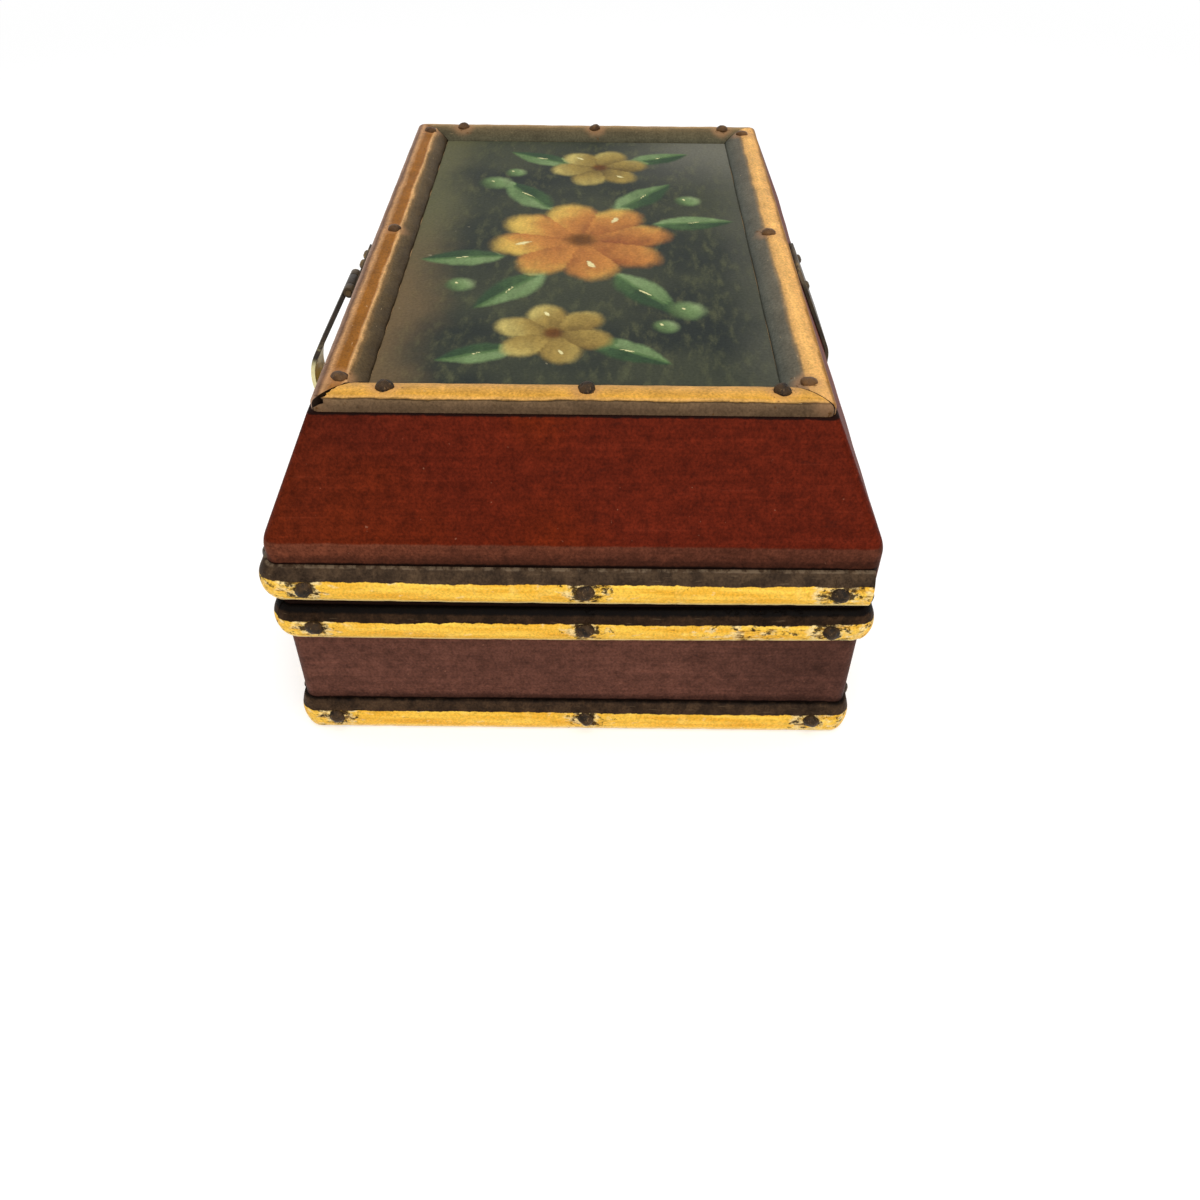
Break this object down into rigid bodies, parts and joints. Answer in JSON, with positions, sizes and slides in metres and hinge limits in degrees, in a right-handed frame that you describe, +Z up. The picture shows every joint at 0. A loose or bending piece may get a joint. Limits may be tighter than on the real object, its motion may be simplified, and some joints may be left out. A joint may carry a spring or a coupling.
{
  "type": "trinket box",
  "caption": "Rectangular keepsake box with a hipped hinged lid, gilt half-round edge strips, domed tacks, a framed picture panel and a bowed front hasp.",
  "frame": {"origin": "middle of the flat resting face", "axes": "+X along the length, -Y towards the front with the hasp, +Z up"},
  "size_m": [0.2262, 0.1671, 0.0996],
  "materials": {
    "lid_paint": "red-brown paint under satin varnish, brush grain",
    "base_paint": "maroon-brown paint, dull satin",
    "bare_wood": "stained bare wood inside",
    "gilt_strip": "worn gold paint between black edges",
    "frame_strip": "tan gold paint between black edges",
    "picture": null,
    "tack": "dark oxidised domed heads",
    "aged_brass": "dark aged brass",
    "worn_brass": "pale worn brass"
  },
  "bodies": {
    "base": {"base_front_wall": "base_paint", "foot_strip_front": "gilt_strip", "rim_strip_front": "gilt_strip", "base_right_wall": "base_paint", "foot_strip_right": "gilt_strip", "rim_strip_right": "gilt_strip", "base_back_wall": "base_paint", "foot_strip_back": "gilt_strip", "rim_strip_back": "gilt_strip", "base_left_wall": "base_paint", "foot_strip_left": "gilt_strip", "rim_strip_left": "gilt_strip", "base_floor": "bare_wood", "foot_strip_tacks": "tack", "rim_strip_tacks": "tack", "hinge_base_leaf": "aged_brass", "hinge_pin": "aged_brass", "hinge_base_pins": "aged_brass", "staple": "aged_brass", "staple_pins": "aged_brass"},
    "lid": {"lid_front_rail": "lid_paint", "lid_front_slope": "lid_paint", "frame_strip_front": "frame_strip", "lid_strip_front": "gilt_strip", "lid_right_rail": "lid_paint", "lid_right_slope": "lid_paint", "frame_strip_right": "frame_strip", "lid_strip_right": "gilt_strip", "lid_back_rail": "lid_paint", "lid_back_slope": "lid_paint", "frame_strip_back": "frame_strip", "lid_left_rail": "lid_paint", "lid_left_slope": "lid_paint", "frame_strip_left": "frame_strip", "lid_strip_left": "gilt_strip", "lid_top_board": "bare_wood", "picture_panel": "picture", "lid_strip_tacks": "tack", "frame_tacks": "tack", "hinge_lid_leaf": "aged_brass", "hinge_lid_pins": "aged_brass", "hasp_leaf": "aged_brass", "hasp_pin": "aged_brass", "hasp_leaf_pins": "aged_brass"},
    "hasp": {"hasp_strap": "worn_brass"}
  },
  "joints": [
    {"name": "lid_hinge", "type": "hinge", "parent": "base", "child": "lid", "pos_m": [0, 0.0778, 0.04765], "axis": [-1, 0, 0], "range_deg": [0, 105]},
    {"name": "hasp_swing", "type": "hinge", "parent": "lid", "child": "hasp", "pos_m": [0, -0.07029, 0.08063], "axis": [-1, 0, 0], "range_deg": [-4, 135]}
  ]
}
